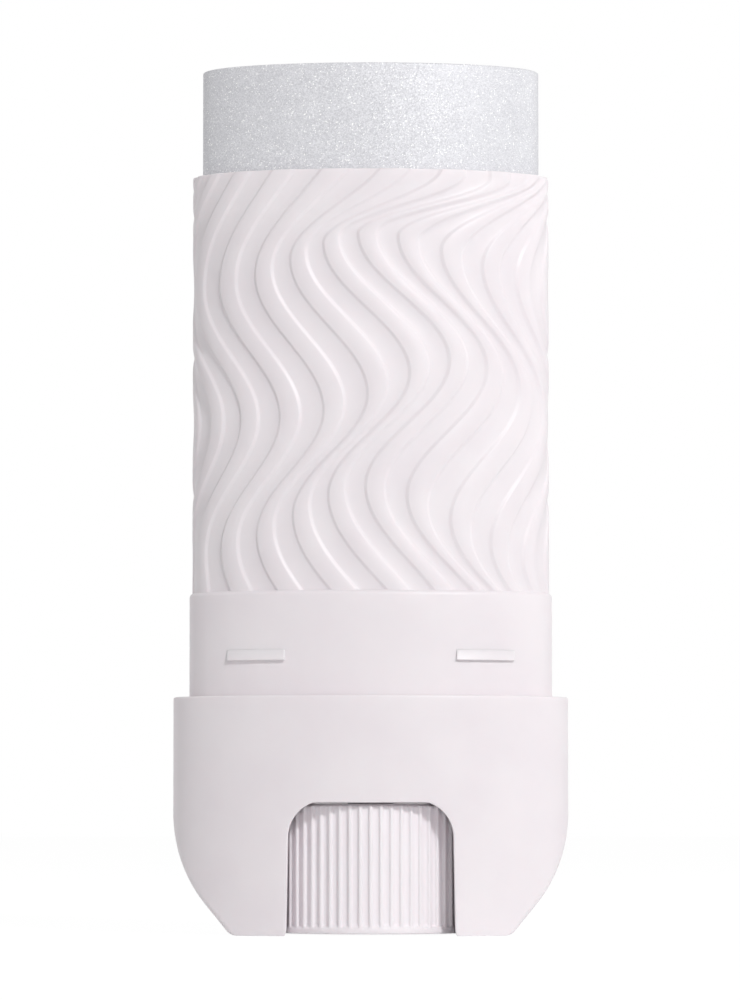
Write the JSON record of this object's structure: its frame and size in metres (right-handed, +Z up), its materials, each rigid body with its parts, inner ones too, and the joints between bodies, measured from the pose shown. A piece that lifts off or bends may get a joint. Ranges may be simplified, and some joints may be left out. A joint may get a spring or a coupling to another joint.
{
  "type": "tinted lip balm",
  "caption": "Oval twist-up lip balm stick, uncapped: ribbed thumb dial in a windowed base, wavy relief barrel and a flat-topped balm bar that a screw raises and lowers.",
  "frame": {"origin": "middle of the flat foot of the base shell, on the axis of the dial", "axes": "+Z up along the barrel, +X to the right along the oval's long axis, the front with two cap beads and one of the two windows faces -Y"},
  "size_m": [0.026, 0.014, 0.057],
  "materials": {
    "shell_plastic": "injection-moulded white polypropylene with a faint pink tint, satin gloss",
    "dial": "injection-moulded white polypropylene, satin",
    "inner_plastic": "natural white acetal and polypropylene, unseen inside",
    "balm": "silvery-white pearl wax with fine shimmer flakes"
  },
  "bodies": {
    "housing": {"barrel": "shell_plastic", "base_shell": "shell_plastic"},
    "drive": {"dial": "dial", "spindle": "inner_plastic"},
    "elevator": {"cup": "inner_plastic", "balm": "balm"}
  },
  "joints": [
    {"name": "bar_travel", "type": "slide", "parent": "housing", "child": "elevator", "axis": [0, 0, 1], "range_m": [-0.00764, 0.02474]},
    {"name": "dial_turn", "type": "hinge", "parent": "housing", "child": "drive", "pos_m": [0, 0, 0.009], "axis": [0, 0, 1], "range_deg": [-688, 2227]}
  ],
  "couplings": [
    {"joint": "dial_turn", "follows": "bar_travel", "rad_per_m": 1570.8}
  ]
}
